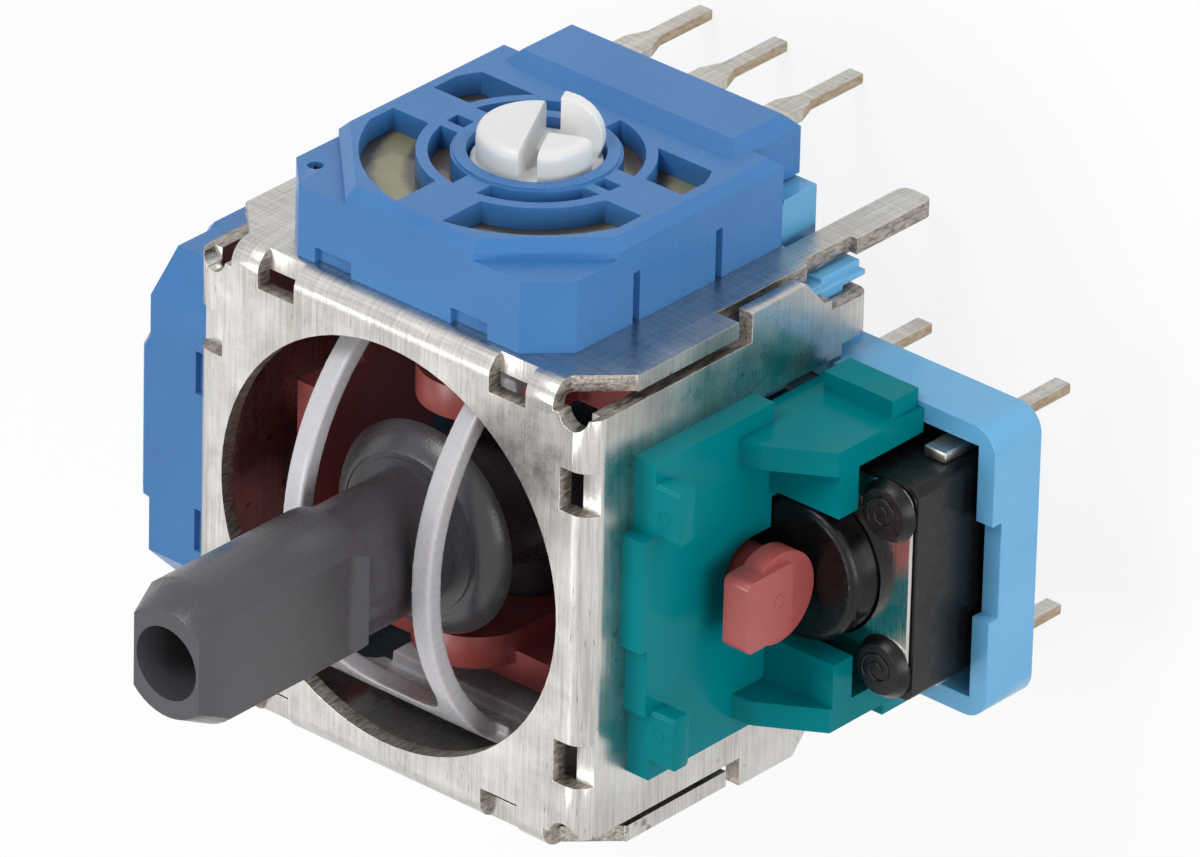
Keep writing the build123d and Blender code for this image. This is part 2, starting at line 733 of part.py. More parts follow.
# Arch: two curved bars with the stick's neck between them, on trunnions along Y
with BuildPart() as arch:
    with BuildSketch(Plane(origin=(0, 0, pivot_z), x_dir=(0, 1, 0), z_dir=(1, 0, 0))):
        Circle(arch_outer)
        Circle(arch_inner, mode=Mode.SUBTRACT)
        with Locations((0, 5)):
            Rectangle(2 * arch_plate_outer, 10, mode=Mode.INTERSECT)
        for sy in (1, -1):
            with Locations((sy * (arch_plate_inner + arch_plate_outer) / 2, (arch_flange_low - arch_plate_drop) / 2)):
                Rectangle(arch_plate_outer - arch_plate_inner, arch_flange_low + arch_plate_drop)
    extrude(amount=arch_half, both=True)
    with BuildSketch(Plane(origin=(0, 0, pivot_z), x_dir=(0, 1, 0), z_dir=(1, 0, 0))):
        for sy in (1, -1):
            with Locations((sy * (arch_flange_start + arch_plate_outer) / 2, (arch_flange_low + arch_flange_high) / 2)):
                Rectangle(arch_plate_outer - arch_flange_start, arch_flange_high - arch_flange_low)
        Circle(arch_outer, mode=Mode.INTERSECT)
        Circle(arch_inner, mode=Mode.SUBTRACT)
    extrude(amount=arch_flange_half, both=True)
    with BuildSketch(Plane.XY.offset(pivot_z + 2)):
        RectangleRounded(2 * slot_half, 2 * slot_end, slot_round)
    extrude(amount=6, mode=Mode.SUBTRACT)
    with BuildSketch(Plane.XZ.offset(arch_plate_inner + 0.2)):
        with Locations((0, pivot_z)):
            Circle(trunnion_radius)
    extrude(amount=frame_half - arch_plate_inner - 0.2)
    with BuildSketch(Plane.XZ.offset(-frame_half)):
        with Locations((0, pivot_z)):
            Circle(trunnion_radius)
    extrude(amount=frame_half - arch_plate_inner - 0.2)
    with BuildSketch(side(90, frame_half - 0.2, pivot_z)):
        Rectangle(key_width, key_length)
    extrude(amount=key_end + 0.2)

arch.part.label = "arch"
export_step(arch.part, "parts/arch.step")

# Rocker: a ring round the stick with two cheeks for the cross pin, a keyed end in the -X
# sensor and an arm that leaves the frame over the switch
with BuildPart() as rocker:
    with BuildSketch(Plane.XY.offset(pivot_z - rocker_drop)):
        Rectangle(2 * rocker_end_outer, 2 * rail_outer)
        Rectangle(2 * rocker_end_inner, 2 * rail_inner, mode=Mode.SUBTRACT)
    extrude(amount=rocker_drop + rail_low_rise)
    with BuildSketch(Plane.XY.offset(pivot_z)):
        for sy in (1, -1):
            with Locations((0, sy * (rail_inner + rail_outer) / 2)):
                Rectangle(2 * rail_high_half, rail_outer - rail_inner)
    extrude(amount=rail_rise)
    with BuildSketch(Plane.XY.offset(pivot_z)):
        with Locations((-(rocker_end_inner + rocker_end_outer) / 2, 0)):
            Rectangle(rocker_end_outer - rocker_end_inner, 2 * end_wall_half)
    extrude(amount=end_wall_rise)
    for sy in (1, -1):
        with BuildSketch(Plane(origin=(0, sy * cheek_inner, pivot_z), x_dir=(1, 0, 0), z_dir=(0, -1, 0))):
            with Locations((0, (cheek_rise - cheek_half) / 2 - rocker_drop / 2)):
                Rectangle(2 * cheek_half, cheek_rise - cheek_half + rocker_drop)
            with Locations((0, cheek_rise - cheek_half)):
                Circle(cheek_half)
        extrude(amount=-sy * (cheek_outer - cheek_inner))
    with BuildSketch(Plane.XZ.offset(-6)):
        with Locations((0, pivot_z)):
            Circle(pin_radius + running)
    extrude(amount=12, mode=Mode.SUBTRACT)
    with BuildSketch(side(180, rocker_end_inner + 0.2, pivot_z)):
        Circle(trunnion_radius)
    extrude(amount=frame_half - rocker_end_inner - 0.2)
    with BuildSketch(side(180, frame_half - 0.2, pivot_z)):
        Rectangle(key_width, key_length)
    extrude(amount=key_end + 0.2)
    with BuildSketch(side(0, rocker_end_inner + 0.2, pivot_z)):
        Circle(neck_arm_radius)
    extrude(amount=switch_x - rocker_end_inner)
    with BuildSketch(side(0, switch_x, pivot_z)):
        with Locations((0, boss_lift)):
            Circle(boss_radius)
    extrude(amount=boss_thickness)
    with BuildSketch(side(0, switch_x, pivot_z)):
        with Locations((0, (tab_low + tab_high) / 2)):
            RectangleRounded(2 * tab_half, tab_high - tab_low, tab_round)
    extrude(amount=tab_thickness)

rocker.part.label = "rocker"
export_step(rocker.part, "parts/rocker.step")

# Spring cup and return spring under the ball foot
with BuildPart() as spring_cup:
    with BuildSketch(Plane.XY.offset(cup_top - cup_thickness)):
        Circle(cup_radius)
    extrude(amount=cup_thickness)
    with BuildSketch(Plane.XY.offset(skirt_bottom)):
        Circle(skirt_radius)
        Circle(skirt_radius - 0.4, mode=Mode.SUBTRACT)
    extrude(amount=cup_top - cup_thickness - skirt_bottom)

spring_cup.part.label = "spring_cup"
export_step(spring_cup.part, "parts/spring_cup.step")

spring_low = floor_z + wire_radius
spring_high = cup_top - cup_thickness - wire_radius
with BuildPart() as return_spring:
    with BuildLine(Plane.XY.offset(spring_low)) as coil:
        Helix(
            pitch=(spring_high - spring_low) / spring_turns,
            height=spring_high - spring_low,
            radius=spring_radius,
        )
    with BuildSketch(Plane(origin=coil.line @ 0, z_dir=coil.line % 0)):
        Circle(wire_radius)
    sweep()

return_spring.part.label = "return_spring"
export_step(return_spring.part, "parts/return_spring.step")

# Push switch
with BuildPart() as switch_housing:
    with BuildSketch(Plane.XY.offset(floor_z)):
        with Locations((switch_x, 0)):
            RectangleRounded(2 * switch_half, 2 * switch_half, 0.25)
    extrude(amount=switch_top - floor_z)
    with BuildSketch(Plane.XY.offset(cavity_floor)):
        with Locations((switch_x, 0)):
            Circle(cavity_radius)
    extrude(amount=5, mode=Mode.SUBTRACT)
    with BuildSketch(Plane.XY.offset(switch_top - 0.2)):
        for sx, sy in corners:
            with Locations((switch_x + sx * stake_offset, sy * stake_offset)):
                Circle(stake_radius)
    extrude(amount=0.2 + cover_thickness + 0.1)
    with BuildSketch(Plane.XY.offset(cover_top)):
        for sx, sy in corners:
            with Locations((switch_x + sx * stake_offset, sy * stake_offset)):
                Circle(stake_head_radius)
    extrude(amount=stake_head, taper=35)

switch_housing.part.label = "switch_housing"
export_step(switch_housing.part, "parts/switch_housing.step")

with BuildPart() as switch_cover:
    with BuildSketch(Plane.XY.offset(switch_top)):
        with Locations((switch_x, 0)):
            RectangleRounded(2 * cover_half, 2 * cover_half, 0.5)
            Circle(plunger_radius + running, mode=Mode.SUBTRACT)
        for sx, sy in corners:
            with Locations((switch_x + sx * stake_offset, sy * stake_offset)):
                Circle(stake_radius + 0.02, mode=Mode.SUBTRACT)
    extrude(amount=cover_thickness)

switch_cover.part.label = "switch_cover"
export_step(switch_cover.part, "parts/switch_cover.step")

with BuildPart() as switch_plunger:
    with BuildSketch(Plane.XY.offset(plunger_flange_bottom)):
        with Locations((switch_x, 0)):
            Circle(plunger_flange_radius)
    extrude(amount=switch_top - 0.05 - plunger_flange_bottom)
    with BuildSketch(Plane.XY.offset(plunger_flange_bottom)):
        with Locations((switch_x, 0)):
            Circle(plunger_radius)
    extrude(amount=plunger_top - plunger_flange_bottom)
    fillet(switch_plunger.faces().sort_by(Axis.Z)[-1].edges(), 0.25)

switch_plunger.part.label = "switch_plunger"
export_step(switch_plunger.part, "parts/switch_plunger.step")

with BuildPart() as switch_dome:
    with BuildSketch(Plane.XZ):
        with BuildLine():
            Polyline(
                (switch_x, cavity_floor + dome_rise),
                (switch_x, cavity_floor + dome_rise + dome_thickness),
                (switch_x + dome_radius * 0.45, cavity_floor + dome_rise * 0.9 + dome_thickness),
                (switch_x + dome_radius, cavity_floor + dome_thickness),
                (switch_x + dome_radius, cavity_floor),
                (switch_x + dome_radius * 0.45, cavity_floor + dome_rise * 0.9),
                close=True,
            )
        make_face()
    revolve(axis=Axis((switch_x, 0, 0), (0, 0, 1)))

switch_dome.part.label = "switch_dome"
export_step(switch_dome.part, "parts/switch_dome.step")

with BuildPart() as switch_terminals:
    for sy in (1, -1):
        with BuildSketch(Plane.XZ.offset(-sy * switch_half)):
            for sx in (1, -1):
                centre = switch_x + sx * switch_pin_x
                with Locations((centre, (switch_pin_top + 0.3) / 2)):
                    Rectangle(switch_pin_width, switch_pin_top - 0.3)
                with Locations((centre, (0.6 + switch_pin_tip) / 2)):
                    Rectangle(switch_pin_tip_width, 0.6 - switch_pin_tip)
        extrude(amount=-sy * switch_pin_thickness)

switch_terminals.part.label = "switch_terminals"
export_step(switch_terminals.part, "parts/switch_terminals.step")

# Bracket: a moulded plate on the frame's wall with two arms that hold the switch
with BuildPart() as switch_bracket:
    with BuildSketch(side(0, frame_half)):
        with BuildLine():
            Polyline(
                (bracket_half, bracket_edge_z),
                (bracket_half, bracket_front_z),
                (tongue_start, bracket_front_z),
                (tongue_start, bracket_tongue_z),
                (tongue_end, bracket_tongue_z),
                (tongue_end, bracket_step_z),
                (step_end, bracket_step_z),
                (step_end, bracket_front_z),
                (-bracket_half, bracket_front_z),
                (-bracket_half, bracket_edge_z),
                (-arm_outer, bracket_edge_z),
                (-arm_outer, tray_top),
                (-arm_outer + arm_thickness, tray_top),
                (-arm_outer + arm_thickness, web_low_z),
                (arm_outer - arm_thickness, web_low_z),
                (arm_outer - arm_thickness, tray_top),
                (arm_outer, tray_top),
                (arm_outer, bracket_edge_z),
                close=True,
            )
        make_face()
    extrude(amount=bracket_thickness)
    with BuildSketch(side(0, frame_half)):
        with Locations((lug_centre, bracket_front_z - lug_depth / 2), (-lug_centre, bracket_front_z - lug_depth / 2)):
            RectangleRounded(lug_width, lug_depth, 0.12)
    extrude(amount=bracket_thickness + lug_out)
    plate_x = frame_half + bracket_thickness
    for sy in (1, -1):
        with BuildSketch(Plane.XZ.offset(-sy * (arm_outer - arm_thickness))):
            with BuildLine():
                Polyline(
                    (frame_half, tray_top),
                    (frame_half, arm_start_z),
                    (plate_x, arm_start_z),
                    (plate_x + arm_knee_x, arm_knee_z),
                    (plate_x + arm_bend_x, arm_bend_z),
                    (arm_reach, arm_end_z),
                    (arm_reach, tray_top),
                    close=True,
                )
            make_face()
        extrude(amount=-sy * arm_thickness)
        with BuildSketch(Plane.XY.offset(web_low_z)):
            with Locations(((frame_half + arm_reach) / 2, sy * (web_inner + arm_outer - arm_thickness / 2) / 2)):
                Rectangle(arm_reach - frame_half, arm_outer - arm_thickness / 2 - web_inner)
        extrude(amount=web_top_z - web_low_z)
        with BuildSketch(Plane.XY.offset(tray_top)):
            with Locations(((frame_half + hook_start + arm_reach - hook_short) / 2, sy * (arm_outer + bracket_half) / 2)):
                Rectangle(arm_reach - hook_short - frame_half - hook_start, bracket_half - arm_outer)
        extrude(amount=hook_top_z - tray_top)
    with BuildSketch(side(0, frame_half - 0.1)):
        with Locations((0, pivot_z)):
            Circle(arm_opening_radius)
        with Locations((0, (pivot_z + arm_opening_z) / 2)):
            Rectangle(2 * arm_opening_radius, pivot_z - arm_opening_z)
        with Locations((0, (arm_opening_z + cover_top) / 2)):
            Rectangle(2 * arm_opening_half, arm_opening_z - cover_top)
    extrude(amount=bracket_thickness + 0.2, mode=Mode.SUBTRACT)

switch_bracket.part.label = "switch_bracket"
export_step(switch_bracket.part, "parts/switch_bracket.step")
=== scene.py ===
import json
import math

import bmesh
import bpy
from mathutils import Matrix, Vector


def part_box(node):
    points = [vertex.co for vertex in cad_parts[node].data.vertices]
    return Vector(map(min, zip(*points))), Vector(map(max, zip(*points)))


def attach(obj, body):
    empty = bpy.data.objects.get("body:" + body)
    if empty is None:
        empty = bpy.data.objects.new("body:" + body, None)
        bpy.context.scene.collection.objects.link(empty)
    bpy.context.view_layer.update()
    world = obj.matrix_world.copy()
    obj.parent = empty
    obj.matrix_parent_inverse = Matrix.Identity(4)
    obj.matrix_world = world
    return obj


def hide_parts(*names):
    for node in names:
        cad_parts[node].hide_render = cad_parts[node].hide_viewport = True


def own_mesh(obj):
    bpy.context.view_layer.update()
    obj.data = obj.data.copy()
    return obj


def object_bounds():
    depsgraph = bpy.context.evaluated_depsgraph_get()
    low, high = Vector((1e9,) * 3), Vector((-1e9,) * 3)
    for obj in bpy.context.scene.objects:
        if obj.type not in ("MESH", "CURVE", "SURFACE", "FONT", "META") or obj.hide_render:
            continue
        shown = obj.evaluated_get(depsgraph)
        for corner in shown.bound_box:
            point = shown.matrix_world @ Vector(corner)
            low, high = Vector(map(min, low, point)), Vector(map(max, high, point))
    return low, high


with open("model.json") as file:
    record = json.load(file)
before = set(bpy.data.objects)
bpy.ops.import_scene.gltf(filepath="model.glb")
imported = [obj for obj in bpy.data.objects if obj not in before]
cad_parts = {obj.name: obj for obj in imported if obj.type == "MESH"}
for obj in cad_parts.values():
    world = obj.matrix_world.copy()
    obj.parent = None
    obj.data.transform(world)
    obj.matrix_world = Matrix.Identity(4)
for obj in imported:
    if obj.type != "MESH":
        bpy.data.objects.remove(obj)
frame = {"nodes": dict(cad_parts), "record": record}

mm = 0.001
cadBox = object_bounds()
nodes = frame["nodes"]
print("frame loaded:", len(nodes), "nodes")


# Colours and shader nodes

def hexColour(code):
    # sRGB hex to the linear values that the shader wants
    channels = []
    for start in (1, 3, 5):
        value = int(code[start:start + 2], 16) / 255
        channels.append(value / 12.92 if value <= 0.04045 else ((value + 0.055) / 1.055) ** 2.4)
    return (*channels, 1.0)


def addNode(tree, kind, inputs=None, links=None, **settings):
    # settings are the node's own properties, inputs its socket values, links its incoming wires
    node = tree.nodes.new(kind)
    for name, value in settings.items():
        setattr(node, name, value)
    for name, value in (inputs or {}).items():
        node.inputs[name].default_value = value
    for name, socket in (links or {}).items():
        tree.links.new(socket, node.inputs[name])
    return node


def newMaterial(name, **surface):
    # a material with one Principled shader, whose constant values stand on its own sockets
    material = bpy.data.materials.new(name)
    material.use_nodes = True
    tree = material.node_tree
    tree.nodes.clear()
    shader = addNode(tree, "ShaderNodeBsdfPrincipled", inputs=surface)
    addNode(tree, "ShaderNodeOutputMaterial", links={"Surface": shader.outputs["BSDF"]})
    return material, tree, shader


def stretchedNoise(tree, grain, detail=3.0, roughness=0.6):
    # noise on Object coordinates; grain is the size of one blotch in mm along X, Y and Z
    place = addNode(tree, "ShaderNodeTexCoord")
    mapping = addNode(tree, "ShaderNodeMapping", inputs={"Scale": tuple(1 / (g * mm) for g in grain)},
                      links={"Vector": place.outputs["Object"]})
    return addNode(tree, "ShaderNodeTexNoise",
                   inputs={"Scale": 1.0, "Detail": detail, "Roughness": roughness},
                   links={"Vector": mapping.outputs["Vector"]})


def remap(tree, socket, low, high, toLow, toHigh):
    return addNode(
        tree, "ShaderNodeMapRange",
        inputs={"From Min": low, "From Max": high, "To Min": toLow, "To Max": toHigh},
        links={"Value": socket},
    ).outputs["Result"]


def colourBetween(tree, socket, first, second):
    ramp = addNode(tree, "ShaderNodeValToRGB", links={"Fac": socket})
    ramp.color_ramp.elements[0].color = hexColour(first)
    ramp.color_ramp.elements[1].color = hexColour(second)
    return ramp.outputs["Color"]


def roughnessFrom(tree, shader, noise, low, high):
    # the middle of the noise spreads the roughness from low to high
    tree.links.new(remap(tree, noise.outputs["Fac"], 0.3, 0.7, low, high), shader.inputs["Roughness"])


def bumpFrom(tree, shader, socket, height):
    # height is the depth of the relief in mm
    bump = addNode(tree, "ShaderNodeBump", inputs={"Strength": 1.0, "Distance": height * mm},
                   links={"Height": socket})
    tree.links.new(bump.outputs["Normal"], shader.inputs["Normal"])


# Materials

# sizes of the blotches and depth of the relief in mm
rolledSheet = dict(lineWidth=0.05, lineLength=2.4, cloud=1.4, nickWidth=0.035, nickLength=0.5, nickShare=0.8,
                   relief=0.003)


def tinPlatedSteel(name, base="#CFCDC9", dark="#AFACA7", scratch="#77736D", roughness=(0.2, 0.38)):
    # rolled sheet with a thin tin coat: bright, with fine lines along the roll, small nicks and dull clouds
    material, tree, shader = newMaterial(name, Metallic=1.0)
    width, length = rolledSheet["lineWidth"], rolledSheet["lineLength"]
    nickWidth, nickLength = rolledSheet["nickWidth"], rolledSheet["nickLength"]
    across = stretchedNoise(tree, (width, length, length), roughness=0.7)
    along = stretchedNoise(tree, (length, length, width), roughness=0.7)
    clouds = stretchedNoise(tree, (rolledSheet["cloud"],) * 3, detail=5.0, roughness=0.65)
    lines = addNode(tree, "ShaderNodeMath", operation="ADD",
                    links={0: across.outputs["Fac"], 1: along.outputs["Fac"]})
    coat = colourBetween(tree, remap(tree, lines.outputs["Value"], 0.78, 1.16, 0, 1), dark, base)
    nicks = stretchedNoise(tree, (nickWidth, nickLength, nickLength), detail=1.0)
    nicked = remap(tree, nicks.outputs["Fac"], 0.70, 0.76, 0, rolledSheet["nickShare"])
    mixed = addNode(tree, "ShaderNodeMix", data_type="RGBA", links={"Factor": nicked, "A": coat})
    mixed.inputs["B"].default_value = hexColour(scratch)
    tree.links.new(mixed.outputs["Result"], shader.inputs["Base Color"])
    roughnessFrom(tree, shader, clouds, *roughness)
    bumpFrom(tree, shader, lines.outputs["Value"], rolledSheet["relief"])
    return material


shearedSheet = dict(tearWidth=0.09, tearLength=0.3, relief=0.02, roughness=(0.35, 0.6))


def shearedEdge(name, base, dark):
    # where the punch tore through the sheet: dull bare steel with short tear lines and a brown stain
    material, tree, shader = newMaterial(name, Metallic=0.9)
    width, length = shearedSheet["tearWidth"], shearedSheet["tearLength"]
    tears = stretchedNoise(tree, (width, width, length), detail=4.0, roughness=0.7)
    stain = colourBetween(tree, remap(tree, tears.outputs["Fac"], 0.35, 0.62, 0, 1), dark, base)
    tree.links.new(stain, shader.inputs["Base Color"])
    roughnessFrom(tree, shader, tears, *shearedSheet["roughness"])
    bumpFrom(tree, shader, tears.outputs["Fac"], shearedSheet["relief"])
    return material


flowMark = 3.5  # mm


def mouldedPlastic(name, base, second, roughness, grain=0.25, relief=0.003, **surface):
    # injection-moulded plastic: even colour with faint flow marks and a slightly textured skin
    material, tree, shader = newMaterial(name, **surface)
    flow = stretchedNoise(tree, (flowMark,) * 3, detail=2.0)
    skin = stretchedNoise(tree, (grain,) * 3)
    colour = colourBetween(tree, remap(tree, flow.outputs["Fac"], 0.3, 0.7, 0, 1), second, base)
    tree.links.new(colour, shader.inputs["Base Color"])
    roughnessFrom(tree, shader, skin, *roughness)
    bumpFrom(tree, shader, skin.outputs["Fac"], relief)
    return material


wafer = dict(
    # the pivot, the radii of the printed rings and their waviness in mm, then the rings from the inside out
    pivot=5.55, inner=2.0, outer=4.6, wave=0.25, spread=0.5, roughness=(0.3, 0.5),
    bands=[(0.0, "#3B3733"), (0.1, "#6A5844"), (0.28, "#6A5844"), (0.36, "#393633"), (0.5, "#4A4236"),
           (0.58, "#8C8660"), (0.8, "#857F5C"), (0.88, "#3E3A34"), (1.0, "#33302D")],
)


def carbonTracks(name, facing):
    # printed wafer under a clear coat: dark lacquer with a round olive carbon track and a brown inner one
    material, tree, shader = newMaterial(name, **{"Coat Weight": 0.6, "Coat Roughness": 0.08})
    place = addNode(tree, "ShaderNodeTexCoord")
    centred = addNode(tree, "ShaderNodeVectorMath", operation="SUBTRACT", links={0: place.outputs["Object"]})
    centred.inputs[1].default_value = (0, 0, wafer["pivot"] * mm)
    flat = addNode(tree, "ShaderNodeVectorMath", operation="MULTIPLY", links={0: centred.outputs["Vector"]})
    flat.inputs[1].default_value = (1, 0, 1) if facing == "Y" else (0, 1, 1)
    radius = addNode(tree, "ShaderNodeVectorMath", operation="LENGTH", links={0: flat.outputs["Vector"]})
    spread = stretchedNoise(tree, (wafer["spread"],) * 3, detail=4.0)
    wavy = addNode(tree, "ShaderNodeMath", operation="MULTIPLY_ADD", inputs={1: wafer["wave"] * mm},
                   links={0: spread.outputs["Fac"], 2: radius.outputs["Value"]})
    rings = remap(tree, wavy.outputs["Value"], wafer["inner"] * mm, wafer["outer"] * mm, 0, 1)
    ramp = addNode(tree, "ShaderNodeValToRGB", links={"Fac": rings})
    bands = wafer["bands"]
    ramp.color_ramp.elements[0].color = hexColour(bands[0][1])
    ramp.color_ramp.elements[1].color = hexColour(bands[-1][1])
    for position, code in bands[1:-1]:
        ramp.color_ramp.elements.new(position).color = hexColour(code)
    tree.links.new(ramp.outputs["Color"], shader.inputs["Base Color"])
    roughnessFrom(tree, shader, spread, *wafer["roughness"])
    return material


finishes = {
    "tinned_steel": tinPlatedSteel("tinPlatedSheetSteel"),
    "tinned_terminals": tinPlatedSteel(
        "tinPlatedTerminal", base="#D0CDC7", dark="#AFAAA1", roughness=(0.25, 0.5)),
    "light_blue_plastic": mouldedPlastic(
        "glossyNylonLightBlue", "#67ACD8", "#5EA5D2", (0.14, 0.24), relief=0.001),
    "teal_plastic": mouldedPlastic(
        "glossyNylonTeal", "#007E86", "#00757D", (0.14, 0.24), relief=0.001, **{"Specular IOR Level": 0.06}),
    "blue_plastic": mouldedPlastic(
        "mouldedNylonBlue", "#3F79B6", "#3973AF", (0.24, 0.4), grain=0.09, relief=0.006,
        **{"Specular IOR Level": 0.35}),
    "resistive_wafer": carbonTracks("carbonTrackWafer", "Y"),
    "black_plastic": mouldedPlastic(
        "glassFilledNylonBlack", "#0E0E10", "#0B0B0D", (0.22, 0.4), relief=0.002,
        **{"Specular IOR Level": 0.3}),
    "cover_steel": tinPlatedSteel(
        "polishedCoverSteel", base="#CBC9C5", dark="#B2AFAA", roughness=(0.08, 0.2)),
    "spring_steel": tinPlatedSteel("springSteel"),
    "white_plastic": mouldedPlastic("acetalWhite", "#E6E6E4", "#DFDFDE", (0.3, 0.45)),
    "contact_metal": tinPlatedSteel("phosphorBronze", base="#C9A86A", dark="#B39358"),
    "red_brown_plastic": mouldedPlastic(
        "mouldedNylonRedBrown", "#AE5653", "#A14D4A", (0.3, 0.42), relief=0.0015),
    "translucent_plastic": mouldedPlastic(
        "naturalNylon", "#C8C7CB", "#C1C0C5", (0.22, 0.34), relief=0.0008,
        **{"Subsurface Weight": 0.3, "Subsurface Scale": 0.3 * mm}),
    "grey_plastic": mouldedPlastic("acetalGrey", "#4C494E", "#464348", (0.2, 0.34), grain=0.08, relief=0.006),
}
crossWafer = carbonTracks("carbonTrackWaferCross", "X")
punchedEdge = shearedEdge("punchedSheetEdge", "#B9B2AA", "#746A61")
clippedEdge = shearedEdge("clippedTerminalEdge", "#BFB09A", "#9C8466")
slotOf = {part["node"]: part["material_slot"] for part in frame["record"]["subparts"]}
for name, node in nodes.items():
    node.data.materials.clear()
    node.data.materials.append(finishes[slotOf[name]])
nodes["pot_x_element"].data.materials[0] = crossWafer
print("materials on", len(nodes), "nodes")


# Tools for the pieces

bodyOf = {}
for body, members in frame["record"]["behaviour"]["bodies"].items():
    for member in members:
        bodyOf[member] = body


def deselectAll():
    bpy.ops.object.select_all(action="DESELECT")


def onlyActive(piece):
    deselectAll()
    piece.select_set(True)
    bpy.context.view_layer.objects.active = piece


def placeInMesh():
    bpy.ops.object.transform_apply(location=True, rotation=True, scale=True)


mergeSettings = dict(weld=0.0005, flat=1.0)  # mm, degrees


def mergedCopy(name):
    # a copy of a node with its loose triangles merged into flat faces
    piece = bpy.data.objects.new(name + "_finished", nodes[name].data.copy())
    bpy.context.collection.objects.link(piece)
    onlyActive(piece)
    bpy.ops.object.mode_set(mode="EDIT")
    bpy.ops.mesh.select_all(action="SELECT")
    bpy.ops.mesh.remove_doubles(threshold=mergeSettings["weld"] * mm)
    bpy.ops.mesh.dissolve_limited(angle_limit=math.radians(mergeSettings["flat"]))
    bpy.ops.object.mode_set(mode="OBJECT")
    return piece


def applyModifier(piece, kind, **settings):
    onlyActive(piece)
    modifier = piece.modifiers.new(kind.lower(), kind)
    for name, value in settings.items():
        setattr(modifier, name, value)
    bpy.ops.object.modifier_apply(modifier=modifier.name)


def roundEdges(piece, width, segments, sharp):
    # every edge sharper than so many degrees is rounded by the width in mm
    applyModifier(piece, "BEVEL", width=width * mm, segments=segments, limit_method="ANGLE",
                  angle_limit=math.radians(sharp))


def subtract(piece, cutter):
    applyModifier(piece, "BOOLEAN", operation="DIFFERENCE", solver="EXACT", object=cutter)
    bpy.data.objects.remove(cutter)


def cutBox(piece, low, high):
    # takes a block out of the piece; low and high are its corners in mm
    deselectAll()
    middle = [(a + b) / 2 * mm for a, b in zip(low, high)]
    bpy.ops.mesh.primitive_cube_add(size=1, location=middle)
    cutter = bpy.context.object
    cutter.scale = [(b - a) * mm for a, b in zip(low, high)]
    placeInMesh()
    subtract(piece, cutter)


def addCylinder(radius, length, place, rotation=(0, 0, 0), sides=96):
    deselectAll()
    bpy.ops.mesh.primitive_cylinder_add(vertices=sides, radius=radius * mm, depth=length * mm,
                                        location=Vector(place) * mm, rotation=rotation)
    placeInMesh()
    return bpy.context.object


def joinInto(piece, other):
    onlyActive(piece)
    other.select_set(True)
    bpy.ops.object.join()


def standFor(piece, name):
    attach(piece, bodyOf[name])
    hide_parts(name)


edgeSettings = dict(segments=2, sharp=28, smooth=40)  # sharp and smooth are angles in degrees


def softenEdges(name, width):
    # every hard edge of the node gets the small round that the mould or the rolls leave
    piece = mergedCopy(name)
    roundEdges(piece, width, edgeSettings["segments"], edgeSettings["sharp"])
    bpy.ops.object.shade_smooth_by_angle(angle=math.radians(edgeSettings["smooth"]))
    applyModifier(piece, "WEIGHTED_NORMAL", keep_sharp=True)
    standFor(piece, name)
    return piece


softSettings = dict(smooth=0.5, keep=0.4)


def softMould(name, piece, voxel, rounds):
    # a soft moulding: the whole skin is drawn even, so that ribs and bars end up round, then thinned out
    applyModifier(piece, "REMESH", mode="VOXEL", voxel_size=voxel * mm)
    applyModifier(piece, "SMOOTH", factor=softSettings["smooth"], iterations=rounds)
    applyModifier(piece, "DECIMATE", ratio=softSettings["keep"])
    onlyActive(piece)
    bpy.ops.object.shade_smooth()
    standFor(piece, name)


def dressCuts(piece, material, isCut):
    # the faces that a punch or cutter left get their own finish
    piece.data.materials.append(material)
    for face in piece.data.polygons:
        if isCut(face.center / mm, face.normal):
            face.material_index = len(piece.data.materials) - 1


# Rounded edges, in mm

edgeWidths = {
    "base_plate": 0.1,
    "switch_bracket": 0.06,
    "pot_y_housing": 0.06,
    "pot_x_housing": 0.06,
    "rocker": 0.16,
    "stick": 0.07,
    "switch_housing": 0.05,
    "switch_cover": 0.05,
    "switch_plunger": 0.05,
}
for name, width in edgeWidths.items():
    softenEdges(name, width)
print("edges softened on", len(edgeWidths), "pieces")


# Arch

far = 20  # past every face of the part, in mm
alongX = (0, math.pi / 2, 0)
alongY = (math.pi / 2, 0, 0)
archSettings = dict(voxel=0.05, rounds=22, slot=1.84, slotStart=3.0, slotEnd=5.15, low=7.5, high=11.4,
                    pivot=5.55, outer=6.5, inner=6.04, foot=3.1, footStart=-5.75, footEnd=-4.95)


def slottedArch():
    s = archSettings
    arch = mergedCopy("arch")
    cutBox(arch, (-s["slot"], s["slotStart"], s["low"]), (s["slot"], s["slotEnd"], s["high"]))
    # the foot of the bars flares out where they leave the end plate
    foot = addCylinder(s["outer"], 2 * s["foot"], (0, 0, s["pivot"]), alongX)
    subtract(foot, addCylinder(s["inner"], far, (0, 0, s["pivot"]), alongX))
    cutBox(foot, (-far, s["footEnd"], -far), (far, far, far))
    cutBox(foot, (-far, -far, -far), (far, s["footStart"], far))
    cutBox(foot, (-far, -far, -far), (far, far, s["pivot"]))
    joinInto(arch, foot)
    return arch


softMould("arch", slottedArch(), archSettings["voxel"], archSettings["rounds"])


# Rotors: heights stand on the frame's wall, and the lobes and the fin are turned from the key

rotorSettings = dict(voxel=0.035, rounds=4, turn=28.0, wall=6.58, floor=2.28, pivot=5.55, root=0.3, sink=0.05,
                     radius=1.52, top=3.2, round=0.28, segments=4, sharp=50,
                     slotLeft=-0.12, slotBack=0.5, slotFront=0.34, slotStep=-0.2,
                     crossLeft=0.1, crossFront=0.28,
                     finRadius=1.08, finHeight=2.78, finBack=-0.74, finFront=-0.34)


